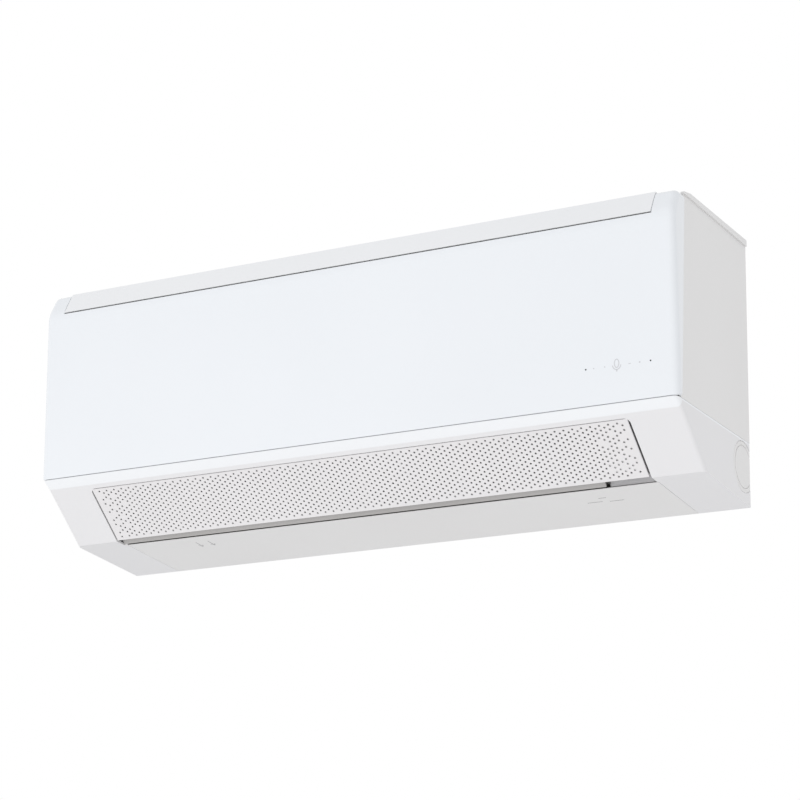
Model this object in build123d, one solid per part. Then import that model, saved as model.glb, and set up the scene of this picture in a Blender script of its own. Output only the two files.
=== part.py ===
from build123d import *
from math import atan2, cos, degrees, hypot, radians, sin
import os

# Wall-mounted indoor unit of a mini split air conditioner.
#
# Places are given as (x, d, z) in millimetres: x along the unit to the right, as seen from the
# room, d the distance out from the wall, and z the height above the underside's rear edge.
# The written parts have X to the right, Y into the wall, Z up, and their origin on the wall
# in the middle of the wall plate's four screw holes.

# ---------------------------------------------------------------- driving dimensions
HALF_LENGTH = 410.0  # the casing's two sides
TOP = 307.0  # flat top of the casing
SEAM = 73.4  # joint between the upper and lower casing
SEAM_GAP = 0.2
WALL = 2.5  # moulded wall thickness
GAP = 0.5  # clearance at seams and round moving parts

TOP_FRONT = (199.5, 307.0)  # side-view corners (d, z), from the top front edge down
PANEL_TOP = (214.5, 279.0)
PANEL_FOOT = (205.3, 74.1)
LIP_TOP = (204.6, SEAM)
CHAMFER_TOP = (192.0, 64.3)
CHAMFER_FOOT = (128.0, 10.0)
BACK = 0.5  # the casing's rear edges stop just short of the wall

PANEL_HALF_LENGTH = 412.0
PANEL_FOOT_BACK = 200.9  # how far back the panel's foot reaches between its ends
LINER = (84.0, 264.0)  # lower and upper edge of the sheet behind the front panel
LOWER_HALF_LENGTH = 409.8
RECESS_HALF_LENGTH = 386.0  # the set-in strip between the panel's two raised ends
HINGE = (186.0, 304.5)  # front panel's hinge axis
HINGE_PIN_RADIUS = 2.0
CROWN_RADII = (12.0, 30.0)  # roundings at the raised ends' top, and where they meet the face
PANEL_CORNER_RADIUS = 5.0  # lower corners, seen from the front
PANEL_RIM_RADIUS = 8.0  # and of the panel's two ends
TRIM_FOOT = 0.985  # how far down its slope the recess strip reaches
TOP_LIP = (407.5, 411.8)  # the raised rim along each top side edge, along the unit

SCREW_CENTRE_HEIGHT = 190.0
SCREW_SPACING = (450.0, 100.0)  # wall screws, along and up
SCREW_HOLE_RADIUS = 3.0
SCREW_RADIUS = 1.9  # casing screws
SCREW_ROWS = (92.0, 290.0)

FAN_CENTRE = (97.0, 118.0)
FAN_RADIUS = 48.0
FAN_ENDS = (-345.0, 281.0)
FAN_BLADES = 24
SHAFT_RADIUS = 4.0
RUNNING = 0.05  # radial clearance of a shaft in its bearing

DUCT_ENDS = (-351.5, 287.0)  # inner faces of the two end plates of the air duct
PLATE = 2.5
SCROLL_RADIUS = 56.0  # rear wall round the fan
SCROLL_ANGLES = (143.0, 215.0)  # where that arc starts and ends
SCROLL_LIP = (118.4, 16.7)  # lower end of the rear wall, at the outlet
SILL = [(118.3, 16.9), (118.0, 15.0), (113.6, 10.0), (112.0, 11.3), (116.0, 15.8)]  # lip on from there
CHANNEL_TOP = 75.0  # pipe channel behind the duct
CHANNEL_FRONT = 50.0
BACK_WALL = (8.0, 10.5)  # the chassis' rear wall, out from the wall

LOUVER_ENDS = (-349.1, 344.3)
LOUVER_SPAN = (1.3, 77.5)  # along the chamfer, from its foot
LOUVER_SKIN = 1.6
LOUVER_DEPTH = 8.0
LOUVER_PIVOT = (6.0, 8.0)  # along the chamfer, and in from it
LOUVER_PIN_RADIUS = 3.0
LOUVER_SWEEP = 9.6  # room that the louver's heel needs round its pivot
UPPER_RIBS = (-298.6, -209.4, -104.4, 63.6, 200.1, 284.1)  # ribs behind the skin, from its top edge
LOWER_RIBS = (-251.4, -146.4, -41.4, 5.9, 126.6, 242.1)  # and from its bottom edge
UPPER_RIB_FOOT = 27.0
LOWER_RIB_TOP = 55.0
OPENING_ENDS = (-351.0, 347.0)
LOWER_RIM_RADIUS = 5.0  # rounding of the lower casing's ends
OPENING_TOP = 78.6  # along the chamfer
SLOT_BACK = 112.0  # front edge of the bottom cover
BOTTOM_COVER_ENDS = (-346.0, 348.0)

VANE_COUNT = 10
VANES_PER_BAR = 5
VANE_STATION = 0.62  # fraction of the outlet stretch of the rear wall
VANE_THICKNESS = 1.6
VANE_OUTLINE = [(-16.5, 2.5), (18, 2.5), (22, 40), (4, 52), (-8, 28), (-8, 10.5), (-16.5, 10.5)]
VANE_PIN_RADIUS = 1.5
LINK_OFFSET = -14.0  # link pin, along the vane from its pivot

FILTER_PLANE = (189.5, 193.5)
FILTER_FOOT = 100.0
FILTERS = {"left": (-349.0, -37.0), "right": (-33.0, 279.0)}
FRAME_PLANE = (186.5, 188.5)

SPIGOT = (173.0, 91.0)  # drain spigots at both ends of the drip tray
SPIGOT_RADIUS = 8.0
SPIGOT_LENGTH = 23.0

COIL_ENDS = (-346.0, 275.0)
COIL_DEPTH = 24.0
TUBE_RADIUS = 3.5
TUBE_PITCH = 19.0
COILS = {  # side-view ends (d, z) of each fin block's centre line
    "coil_front": ((170.5, 90.0), (170.5, 210.0)),
    "coil_top": ((166.0, 222.0), (105.8, 280.5)),
    "coil_rear": ((88.0, 272.0), (39.0, 175.8)),
}

KNOCKOUT_CENTRE = (19.8, 42.0)
KNOCKOUT_RADIUS = 29.4

E_BOX = ((296.0, 386.0), (48.0, 176.0), (172.0, 292.0))  # electric box: along, out and up
BOARD = ((302.0, 380.0), (58.0, 59.6), (178.0, 286.0))  # the circuit board in it

DISPLAY_MARKS = (305.9, 315.2, 326.0, 341.9, 355.0, 368.4, 380.9)
DISPLAY_HEIGHT = 114.5
BUTTON_PLACE = (330.0, 140.0)

SUCTION_RADIUS = 6.35  # refrigerant pipes, half inch and quarter inch
LIQUID_RADIUS = 3.2
SUCTION_END = -64.0  # where the two pipes' free ends lie along the unit
LIQUID_END = -34.0


# ---------------------------------------------------------------- helpers
def flat(point):
    """A side-view point (d, z) in the sketch plane that looks along X."""
    return (-point[0], point[1])


def polar(centre, radius, angle):
    """Side-view point at an angle, counted from straight out of the wall upwards."""
    return (centre[0] + radius * cos(radians(angle)), centre[1] + radius * sin(radians(angle)))


def run(face, x):
    """The side-view face made solid between two places along the unit."""
    return extrude(Plane.YZ.offset(x[0]) * face, amount=x[1] - x[0], dir=(1, 0, 0))


def prism(points, x):
    """A solid whose side view is the polygon of (d, z) points."""
    return run(make_face(Polyline(*[flat(p) for p in points], close=True)), x)


def block(x, d, z):
    """A box from its low and high values along the unit, out from the wall and up."""
    size = [pair[1] - pair[0] for pair in (x, d, z)]
    middle = [(pair[0] + pair[1]) / 2 for pair in (x, d, z)]
    return Pos(middle[0], -middle[1], middle[2]) * Box(*size)


def rod(centre, radius, x):
    """A cylinder along the unit."""
    return run(Pos(*flat(centre)) * Circle(radius), x)


def pin(x, z, radius, d):
    """A cylinder that points out from the wall."""
    return Pos(x, -(d[0] + d[1]) / 2, z) * Rot(90, 0, 0) * Cylinder(radius, d[1] - d[0])


def both(shape):
    """The shape and its mirror image at the other end of the unit."""
    return [shape, mirror(shape, about=Plane.YZ)]


def between(a, b, share):
    """The point at a share of the way from a to b."""
    return (a[0] + (b[0] - a[0]) * share, a[1] + (b[1] - a[1]) * share)


CHAMFER_LENGTH = hypot(CHAMFER_TOP[0] - CHAMFER_FOOT[0], CHAMFER_TOP[1] - CHAMFER_FOOT[1])
CHAMFER_RISE = (
    (CHAMFER_TOP[0] - CHAMFER_FOOT[0]) / CHAMFER_LENGTH,
    (CHAMFER_TOP[1] - CHAMFER_FOOT[1]) / CHAMFER_LENGTH,
)


def on_chamfer(along, inset):
    """Side-view point a distance up the chamfer from its foot, and in from its face."""
    up_d, up_z = CHAMFER_RISE
    return (
        CHAMFER_FOOT[0] + along * up_d - inset * up_z,
        CHAMFER_FOOT[1] + along * up_z + inset * up_d,
    )


def chamfer_plane(x, along, inset):
    """A sketch plane on the chamfer: its X is the unit's, its Z points out to the room."""
    d, z = on_chamfer(along, inset)
    return Plane(origin=(x, -d, z), x_dir=(1, 0, 0), z_dir=(0, -CHAMFER_RISE[1], -CHAMFER_RISE[0]))


def underside(d):
    """Height of the sloping underside at a distance from the wall."""
    return CHAMFER_FOOT[1] * d / CHAMFER_FOOT[0]


def panel_face(z):
    """Distance from the wall of the front panel's face at a height."""
    share = (z - PANEL_FOOT[1]) / (PANEL_TOP[1] - PANEL_FOOT[1])
    return PANEL_FOOT[0] + share * (PANEL_TOP[0] - PANEL_FOOT[0])


PIVOT = on_chamfer(*LOUVER_PIVOT)


def scroll_edges(offset):
    """The duct's rear wall, set back by an offset: an arc round the fan, then a long flat arc."""
    radius = SCROLL_RADIUS + offset
    start, end = SCROLL_ANGLES
    arc_points = [polar(FAN_CENTRE, radius, a) for a in (start, (start + end) / 2, end)]
    round_fan = ThreePointArc(*[flat(p) for p in arc_points])
    tangent = (sin(radians(end)), cos(radians(end)))
    lip_direction = 2 * OUTLET_CHORD - (end - 270)
    lip = polar(SCROLL_LIP, offset, lip_direction - 90)
    to_lip = TangentArc(flat(arc_points[2]), flat(lip), tangent=tangent)
    return round_fan, to_lip


def chord_angle(a, b):
    """Angle of the line from a to b, in degrees."""
    return degrees(atan2(b[1] - a[1], b[0] - a[0]))


OUTLET_CHORD = chord_angle(polar(FAN_CENTRE, SCROLL_RADIUS, SCROLL_ANGLES[1]), SCROLL_LIP)


# ---------------------------------------------------------------- what carries the unit
def wall_plate():
    """Sheet steel plate with a folded top edge, four screw holes and lightening slots."""
    sheet = block((-300, 300), (0, 1.5), (60, 285))
    fold = block((-300, 300), (1.5, 6), (283.5, 285))
    half_x, half_z = SCREW_SPACING[0] / 2, SCREW_SPACING[1] / 2
    holes = [
        pin(x, SCREW_CENTRE_HEIGHT + z, SCREW_HOLE_RADIUS, (-1, 3))
        for x in (-half_x, half_x)
        for z in (-half_z, half_z)
    ]
    slots = [
        block((x - 30, x + 30), (-1, 3), (z - 9, z + 9))
        for x in (-140, 0, 140)
        for z in (100, 190, 250)
    ]
    return sheet + fold - holes - slots


def chassis():
    """Rear base: back wall, pipe channel, and the scroll behind the fan down to the outlet."""
    duct = DUCT_ENDS
    inner, outer = scroll_edges(0), scroll_edges(WALL)
    ends = [Line(inner[0] @ 0, outer[0] @ 0), Line(inner[1] @ 1, outer[1] @ 1)]
    scroll = run(make_face([*inner, *outer, *ends]), duct)
    sill = prism(SILL, (OPENING_ENDS[0] + GAP, duct[1]))
    back = block((-402, 402), BACK_WALL, (CHANNEL_TOP, 300))
    ceiling = block(duct, (BACK_WALL[0], CHANNEL_FRONT + WALL), (CHANNEL_TOP, CHANNEL_TOP + WALL))
    channel = block((-395, 395), (CHANNEL_FRONT, CHANNEL_FRONT + WALL), (7, CHANNEL_TOP + WALL))
    shelf = block(duct, (9, 52.5), (149.2, 151.7))
    lugs = both(block((170, 210), (2, 9), (285, 289)))
    body = scroll + [sill, back, ceiling, channel, shelf, *lugs]
    for x in vane_places():
        body -= vane_plane(x) * vane_rod(0, VANE_PIN_RADIUS + RUNNING, (-5, 2))
    return body


def duct_ends():
    """The duct's two end plates, with the fan's and the louver's bearings."""
    behind = [
        (CHANNEL_FRONT + WALL, 7.5), (CHANNEL_FRONT + WALL, CHANNEL_TOP + WALL),
        (BACK_WALL[1], CHANNEL_TOP + WALL), (BACK_WALL[1], 162), (150, 162), (150, 98),
    ]
    x = (DUCT_ENDS[0] - PLATE, DUCT_ENDS[0])
    left = prism([*behind, (186, 66.5), on_chamfer(2, 3.2)], x)
    left = left - rod(FAN_CENTRE, 12, x) - rod(PIVOT, LOUVER_PIN_RADIUS + RUNNING, x)
    x = (DUCT_ENDS[1], DUCT_ENDS[1] + PLATE)
    right = prism([*behind, (183, 68), (119, 16)], x)
    right = right - rod(FAN_CENTRE, 14, x) - rod(PIVOT, LOUVER_SWEEP, x)
    return [left, right]


def drip_tray():
    """Trough under the front coil; its underside is the duct's upper wall. A spigot at each end."""
    section = [
        (148.5, 104), (151.3, 104.6), (155, 96), (161, 84.5), (184, 82.5), (184, 98),
        (186, 98), (186, 66), (184.8, 64.8), (161.5, 79.5), (151.8, 92.5),
    ]
    ends = (DUCT_ENDS[0] + GAP, DUCT_ENDS[1] - GAP)
    tray = prism(section, ends)
    caps = [prism(section[2:6], (x, x + WALL)) for x in (ends[0], ends[1] - WALL)]
    reach = (ends[0] - SPIGOT_LENGTH, ends[0] + WALL), (ends[1] - WALL, ends[1] + SPIGOT_LENGTH)
    spigots = [rod(SPIGOT, SPIGOT_RADIUS, x) for x in reach]
    bores = [rod(SPIGOT, SPIGOT_RADIUS - 2, x) for x in reach]
    return tray + caps + spigots - bores


def drain_plug():
    """Rubber cap on the left spigot."""
    tip = DUCT_ENDS[0] + GAP - SPIGOT_LENGTH
    cap = rod(SPIGOT, SPIGOT_RADIUS + 2.5, (tip - 3, tip + 14))
    return cap - rod(SPIGOT, SPIGOT_RADIUS + RUNNING, (tip - RUNNING, tip + 14))


# ---------------------------------------------------------------- casing
def casing_cover():
    """Upper casing: two sides, the top with its two apertures, and the lip along each top edge."""
    foot = SEAM + SEAM_GAP
    side = both(prism(
        [(BACK, foot), (BACK, TOP), (183, TOP), (183, HINGE[1]), (195.5, foot)],
        (HALF_LENGTH - WALL, HALF_LENGTH),
    ))
    lip = both(prism(
        [(BACK, TOP - GAP), (BACK, 313.8), (165, 312.2), (183, 308.8), (183, TOP - GAP)], TOP_LIP
    ))
    roof = block((-408, 408), (BACK, 183), (TOP - WALL, TOP))
    front_rail = block((-385.3, 385.3), (182, 196.5), (TOP - WALL, TOP))
    bearers = both(block((374, 385.3), (181, 190), (300.5, TOP - 1)))
    tabs = [
        tab
        for z in SCREW_ROWS
        for tab in both(block((389, HALF_LENGTH - 1), (176, 186.3), (z - 6, z + 6)))
    ]
    grille_well = block((-372, 372), (22, 176), (TOP - 2 * WALL, TOP + WALL))
    slots = [
        block((x[0] - 0.8, x[1] + 0.8), (FILTER_PLANE[0] - 0.6, FILTER_PLANE[1] + 0.6), (300, 310))
        for x in FILTERS.values()
    ]
    pins = both(rod(HINGE, HINGE_PIN_RADIUS + RUNNING, (373, 387)))
    threads = [hole for z in SCREW_ROWS for hole in both(pin(396, z, SCREW_RADIUS + RUNNING, (170, 190)))]
    return side[0] + [side[1], *lip, roof, front_rail, *bearers, *tabs] - grille_well - slots - pins - threads


def top_grille():
    """Air inlet: a frame with long bars across it, carried by short ribs."""
    x, d, z = (-371.5, 371.5), (22.5, 175.5), (303.6, 306.8)
    frame = block(x, d, z) - block((x[0] + 6, x[1] - 6), (d[0] + 6, d[1] - 6), (300, 310))
    pitch = (d[1] - d[0] - 12) / 13
    bars = [
        block((x[0] + 5, x[1] - 5), (d[0] + 6 + k * pitch - 1.6, d[0] + 6 + k * pitch + 1.6), (304.6, z[1]))
        for k in range(1, 13)
    ]
    rib_pitch = (x[1] - x[0]) / 10
    ribs = [
        block((x[0] + k * rib_pitch - 1.2, x[0] + k * rib_pitch + 1.2), (d[0] + 5, d[1] - 5), (z[0], 305.4))
        for k in range(1, 10)
    ]
    return frame + bars + ribs


def recess_trim():
    """Set-in strip on the top front edge, with a web down behind it."""
    lower = between(TOP_FRONT, PANEL_TOP, TRIM_FOOT)
    section = [
        (196.7, TOP), TOP_FRONT, lower, (lower[0] - 2.9, lower[1]), (199.2, 302.2),
        (199.2, 286), (196.7, 286),
    ]
    return prism(section, (GAP + 0.2 - RECESS_HALF_LENGTH, RECESS_HALF_LENGTH - GAP - 0.2))


def front_frame():
    """Flat frame behind the front panel, with one window behind each filter."""
    plate = block((-405, 405), FRAME_PLANE, (84, 296))
    windows = [
        block((x[0] + 8, x[1] - 8), (180, 195), (FILTER_FOOT + 14, 290)) for x in FILTERS.values()
    ]
    screws = [hole for z in SCREW_ROWS for hole in both(pin(396, z, SCREW_RADIUS + 0.3, (180, 195)))]
    button = pin(*BUTTON_PLACE, 4.2, (180, 195))
    return plate - windows - screws - button


def lower_casing():
    """Lower casing: lip, chamfer with the louver's opening, underside ends and lower sides."""
    outer = [
        (BACK, underside(BACK)), CHAMFER_FOOT, CHAMFER_TOP, LIP_TOP, (BACK, SEAM),
    ]
    inner = [
        (-5, WALL), (126.8, 12.4), (190.2, 66.1), (196.5, SEAM - WALL),
        (188.5, SEAM - WALL), (188.5, SEAM + 5), (-5, SEAM + 5),
    ]
    half = LOWER_HALF_LENGTH
    shell = prism(outer, (-half, half))
    ends = shell.edges().filter_by(lambda e: abs(abs(e.center().X) - half) < 1e-3)
    rims = ends.filter_by(lambda e: e.center().Y < -CHAMFER_FOOT[0] and e.center().Z < SEAM - 2)
    shell = fillet(rims, LOWER_RIM_RADIUS) - prism(inner, (WALL - half, half - WALL))
    height = OPENING_TOP + 5
    outline = Rectangle(OPENING_ENDS[1] - OPENING_ENDS[0], height)
    outline = fillet(outline.vertices().sort_by(Axis.Y)[-2:], 7)
    place = chamfer_plane(sum(OPENING_ENDS) / 2, OPENING_TOP - height / 2, 0)
    opening = extrude(place * outline, 15, both=True)
    slot = block(OPENING_ENDS, (SLOT_BACK, 130), (-5, 15))
    middle = block(
        (BOTTOM_COVER_ENDS[0] - GAP, BOTTOM_COVER_ENDS[1] + GAP), (-5, SLOT_BACK + 1), (-5, 15)
    )
    sides = (half - 4, half + 1), (-half - 1, 4 - half)
    knockouts = [rod(KNOCKOUT_CENTRE, KNOCKOUT_RADIUS, x) for x in sides]
    shell = shell - opening - slot - middle - knockouts
    blank_x = (DUCT_ENDS[1] + PLATE + 0.2, OPENING_ENDS[1])
    blank = prism(
        [on_chamfer(81, 2.4), on_chamfer(81, 26.5), on_chamfer(-6, 26.5), (106, 11.4),
         (108, 11.4), on_chamfer(-4.5, 24), on_chamfer(79.4, 24), on_chamfer(79.4, 2.4)],
        blank_x,
    )
    end_wall = prism(
        [on_chamfer(81, 2.4), on_chamfer(81, 26.5), on_chamfer(-6, 26.5), (112.4, 11), on_chamfer(0.8, 2.3)],
        (OPENING_ENDS[1], OPENING_ENDS[1] + WALL),
    )
    end_wall -= rod(PIVOT, LOUVER_PIN_RADIUS + RUNNING, (OPENING_ENDS[1], OPENING_ENDS[1] + WALL))
    return shell + [blank, end_wall]


def bottom_cover():
    """Middle of the underside, between the two seams, thinned to a narrow front edge."""
    thin, full = SLOT_BACK - 1.5, SLOT_BACK - 4
    section = [
        (BACK, underside(BACK)), (SLOT_BACK, underside(SLOT_BACK)), (SLOT_BACK, underside(SLOT_BACK) + 0.4),
        (thin, underside(thin) + 1), (full, underside(full) + 2.3), (BACK, underside(BACK) + WALL),
    ]
    return prism(section, BOTTOM_COVER_ENDS)


def pipe_knockouts():
    """Round break-out for the pipes at each end, with a ring groove; the rear edge cuts across it."""
    half = LOWER_HALF_LENGTH
    disc = rod(KNOCKOUT_CENTRE, KNOCKOUT_RADIUS - 0.6, (half - WALL, half - 0.2))
    groove = half - 1, half + 1
    ring = rod(KNOCKOUT_CENTRE, 24.6, groove) - rod(KNOCKOUT_CENTRE, 23.6, groove)
    rest = block((half - 10, half + 10), (-50, BACK), (0, 100))
    return both(disc - ring - rest)


# ---------------------------------------------------------------- coil and pipes
def coil_axes(name):
    """Unit vectors of a fin block's side view: along its centre line, and across it."""
    a, b = COILS[name]
    length = hypot(b[0] - a[0], b[1] - a[1])
    along = ((b[0] - a[0]) / length, (b[1] - a[1]) / length)
    return length, along, (-along[1], along[0])


def coil_point(name, distance, offset):
    """Side-view point of a fin block: a distance along its centre line, and an offset across it."""
    a = COILS[name][0]
    _, along, across = coil_axes(name)
    return (
        a[0] + distance * along[0] + offset * across[0],
        a[1] + distance * along[1] + offset * across[1],
    )


def coil_section(name):
    """The four side-view corners of a fin block."""
    length = coil_axes(name)[0]
    half = COIL_DEPTH / 2
    corners = [(0, -half), (length, -half), (length, half), (0, half)]
    return [coil_point(name, *corner) for corner in corners]


def coil_block(name):
    """One block of fins."""
    return prism(coil_section(name), COIL_ENDS)


def tube_sheets():
    """Steel end plates of the coil: one outline over all three fin blocks, at each end."""
    sheets = []
    for x in ((COIL_ENDS[0] - 2, COIL_ENDS[0] - 0.5), (COIL_ENDS[1] + 0.5, COIL_ENDS[1] + 2)):
        plates = [prism(coil_section(name), x) for name in COILS]
        plates.append(prism([(160, 206), (181, 206), (174, 228), (160, 218)], x))
        plates.append(prism([(84, 262), (97, 264), (112, 276), (104, 283), (84, 272)], x))
        sheets.append(plates[0] + plates[1:])
    return sheets


def tube_stations(name):
    """Places of the tube pairs along one fin block."""
    length = coil_axes(name)[0]
    pairs = int(length // (2 * TUBE_PITCH))
    first = (length - (2 * pairs - 1) * TUBE_PITCH) / 2
    return [first + 2 * k * TUBE_PITCH for k in range(pairs)]


def bends(x, direction):
    """Half rings of tube outside a tube sheet, one for each pair of tubes in each row."""
    rings = []
    for name in COILS:
        for distance in tube_stations(name):
            for offset in (-6, 6):
                start = coil_point(name, distance, offset)
                end = coil_point(name, distance + TUBE_PITCH, offset)
                middle = between(start, end, 0.5)
                path = ThreePointArc(
                    (x, *flat(start)), (x + direction * TUBE_PITCH / 2, *flat(middle)), (x, *flat(end))
                )
                profile = Plane(origin=path @ 0, z_dir=path % 0) * Circle(TUBE_RADIUS)
                rings.append(sweep(profile, path=path))
    return rings


def tube(points, radius, bend):
    """A bent tube through (x, d, z) points."""
    path = FilletPolyline(*[(x, -d, z) for x, d, z in points], radius=bend)
    return sweep(Plane(origin=path @ 0, z_dir=path % 0) * Circle(radius), path=path)


def suction_pipe():
    """Wide gas pipe: out of the coil, down behind the fan motor and along the rear channel."""
    return tube([(278, 34, 186), (299, 34, 186), (299, 34, 45), (SUCTION_END, 34, 45)], SUCTION_RADIUS, 14)


def liquid_pipe():
    """Narrow liquid pipe beside the gas pipe."""
    route = [
        (278, 75.5, 267), (288.5, 75.5, 267), (288.5, 18, 267), (299, 18, 246),
        (299, 18, 25), (LIQUID_END, 18, 25),
    ]
    return tube(route, LIQUID_RADIUS, 6)


def flare_nut(x, place, tube_radius, thread_radius, across_flats):
    """Hexagon nut: a bore for the tube, and a wider threaded bore open to the left."""
    hexagon = Pos(*flat(place)) * RegularPolygon(across_flats / 2, 6, major_radius=False)
    nut = run(hexagon, (x - 20, x + 8))
    tube_hole = rod(place, tube_radius + RUNNING, (x - 2, x + 8))
    return nut - tube_hole - rod(place, thread_radius, (x - 20, x - 2))


def flare_nuts():
    """The two nuts on the pipes' ends."""
    return [
        flare_nut(SUCTION_END + 2, (34, 45), SUCTION_RADIUS, 9.0, 24),
        flare_nut(LIQUID_END + 2, (18, 25), LIQUID_RADIUS, 5.1, 17),
    ]


def pipe_clamp():
    """Plastic saddle that holds both pipes in the channel."""
    saddle = block((120, 132), (12, CHANNEL_FRONT - 0.2), (14, 58))
    pipes = [rod((34, 45), SUCTION_RADIUS + 0.1, (119, 133)), rod((18, 25), LIQUID_RADIUS + 0.1, (119, 133))]
    return saddle - pipes


# ---------------------------------------------------------------- fan
def fan_wheel():
    """Cross-flow wheel: slanted blades through two end discs and five rings."""
    blades = []
    for k in range(FAN_BLADES):
        angle = 360 / FAN_BLADES * k
        front = [(36.5, 0), (42, 7), (47.3, 17)]
        back = [(47.5, 15), (42.4, 5), (37, -2)]
        points = [polar((0, 0), r, angle + a) for r, a in front + back]
        blades.append([(FAN_CENTRE[0] + d, FAN_CENTRE[1] + z) for d, z in points])
    left, right = FAN_ENDS
    wheel = [prism(points, (left + 1, right - 1)) for points in blades]
    pitch = (right - left - 3) / 6
    for k in range(1, 6):
        x = left + k * pitch
        wheel.append(rod(FAN_CENTRE, FAN_RADIUS, (x, x + 2.4)) - rod(FAN_CENTRE, 35.5, (x, x + 2.4)))
    wheel += [rod(FAN_CENTRE, FAN_RADIUS, (left, left + 3)), rod(FAN_CENTRE, FAN_RADIUS, (right - 3, right))]
    wheel += [rod(FAN_CENTRE, 10, (left + 2, left + 16)), rod(FAN_CENTRE, 11, (right - 20, right - 2))]
    sockets = (left - 1, left + 15), (right - 19, right + 1)
    bores = [rod(FAN_CENTRE, SHAFT_RADIUS + 0.02, x) for x in sockets]
    return wheel[0] + wheel[1:] - bores


def fan_shaft():
    """Two stub axles: the left one runs in the bush, the right one is the motor's."""
    stretches = (-366, FAN_ENDS[0] + 14), (FAN_ENDS[1] - 18, 300)
    return [rod(FAN_CENTRE, SHAFT_RADIUS, x) for x in stretches]


def bearing_bush():
    """Plain bush round the left axle."""
    return rod(FAN_CENTRE, 9.25, (-365, -355)) - rod(FAN_CENTRE, SHAFT_RADIUS + RUNNING, (-365, -355))


def bearing_housing():
    """Flanged ring on the left end plate."""
    outside = DUCT_ENDS[0] - PLATE
    ring = rod(FAN_CENTRE, 16, (-366, outside)) + rod(FAN_CENTRE, 24, (outside - 3, outside))
    return ring - rod(FAN_CENTRE, 9.3, (-366, outside))


def fan_motor():
    """Round motor with a seam flange and a blind bore for its axle."""
    can = rod(FAN_CENTRE, 42, (291, 336)) + rod(FAN_CENTRE, 44, (311, 314)) + rod(FAN_CENTRE, 13, (336, 341))
    return can - rod(FAN_CENTRE, SHAFT_RADIUS + RUNNING, (291, 301))


def motor_cover():
    """Saddle over the motor, with a foot at each side."""
    x = (292, 308)
    ring = rod(FAN_CENTRE, 47, x) - rod(FAN_CENTRE, 44.6, x)
    d, z = FAN_CENTRE
    arch = ring - block((290, 310), (d - 60, d + 60), (z - 60, z))
    feet = [block(x, (d - 53, d - 45), (z, z + 3)), block(x, (d + 45, d + 53), (z, z + 3))]
    return arch + feet


# ---------------------------------------------------------------- louver and vanes
def louver_skin():
    """Outer plate of the louver, with rounded corners, flush with the chamfer."""
    length = LOUVER_ENDS[1] - LOUVER_ENDS[0]
    height = LOUVER_SPAN[1] - LOUVER_SPAN[0]
    place = chamfer_plane(sum(LOUVER_ENDS) / 2, sum(LOUVER_SPAN) / 2, LOUVER_SKIN)
    return extrude(place * RectangleRounded(length, height, 5.5), LOUVER_SKIN - 0.3)


def louver_carrier():
    """Frame behind the skin: four rails, cross ribs, and an arm with a pivot pin at each end."""
    length = LOUVER_ENDS[1] - LOUVER_ENDS[0] - 1
    height = LOUVER_SPAN[1] - LOUVER_SPAN[0] - 1
    middle_x = sum(LOUVER_ENDS) / 2
    place = chamfer_plane(middle_x, sum(LOUVER_SPAN) / 2, LOUVER_DEPTH)
    depth = LOUVER_DEPTH - LOUVER_SKIN - 0.05
    ring = RectangleRounded(length, height, 5) - RectangleRounded(length - 8, height - 8, 3)
    frame = extrude(place * ring, depth)
    ribs = []
    for stations, low, high in (
        (UPPER_RIBS, UPPER_RIB_FOOT, LOUVER_SPAN[1] - 2),
        (LOWER_RIBS, LOUVER_SPAN[0] + 2, LOWER_RIB_TOP),
    ):
        for x in stations:
            foot = chamfer_plane(x, (low + high) / 2, LOUVER_DEPTH) * Rectangle(3, high - low)
            ribs.append(extrude(foot, depth))
    arms, pins = [], []
    for inner, outer, tip in (
        (LOUVER_ENDS[0] + 3, LOUVER_ENDS[0] + 0.5, DUCT_ENDS[0] - PLATE),
        (LOUVER_ENDS[1] - 3, LOUVER_ENDS[1] - 0.5, OPENING_ENDS[1] + WALL),
    ):
        x = (min(inner, outer), max(inner, outer))
        arms.append(rod(PIVOT, 4.6, x))
        pins.append(rod(PIVOT, LOUVER_PIN_RADIUS, (min(tip, inner), max(tip, inner))))
    return frame + ribs + arms + pins


def vane_places():
    """Where the vanes stand along the duct."""
    pitch = (DUCT_ENDS[1] - DUCT_ENDS[0]) / VANE_COUNT
    return [DUCT_ENDS[0] + pitch * (k + 0.5) for k in range(VANE_COUNT)]


def vane_plane(x):
    """Plane of one vane: X along the air flow, Y along its pivot axis, from the duct's wall."""
    wall = scroll_edges(0)[1]
    foot, flow = wall @ VANE_STATION, wall % VANE_STATION
    return Plane(origin=(x, foot.X, foot.Y), x_dir=(0, flow.X, flow.Y), z_dir=(-1, 0, 0))


def vane_rod(along, radius, height):
    """Cylinder parallel to a vane's pivot axis, in the vane's own plane."""
    middle = (height[0] + height[1]) / 2
    return Pos(along, middle, 0) * Rot(90, 0, 0) * Cylinder(radius, height[1] - height[0])


def vane(x):
    """One upright vane with its pivot pin and the eye for the link pin."""
    blade = extrude(make_face(Polyline(*VANE_OUTLINE, close=True)), VANE_THICKNESS / 2, both=True)
    pivot = vane_rod(0, VANE_PIN_RADIUS, (-2.2, 4)) + vane_rod(0, 3, (1.5, 9))
    eye = vane_rod(LINK_OFFSET, 2.4, (3.5, 10.5))
    hole = vane_rod(LINK_OFFSET, 1.3, (4.5, 11))
    return vane_plane(x) * (blade + [pivot, eye] - hole)


def link_bar(places):
    """Light flat bar over the vanes' eyes, with one pin down into each."""
    middle = (places[0] + places[-1]) / 2
    length = places[-1] - places[0] + 12
    bar = vane_plane(middle) * (Pos(LINK_OFFSET, 13, 0) * Box(4, 2, length))
    pins = [vane_plane(x) * vane_rod(LINK_OFFSET, 1.0, (5.5, 12.5)) for x in places]
    return bar + pins


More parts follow.
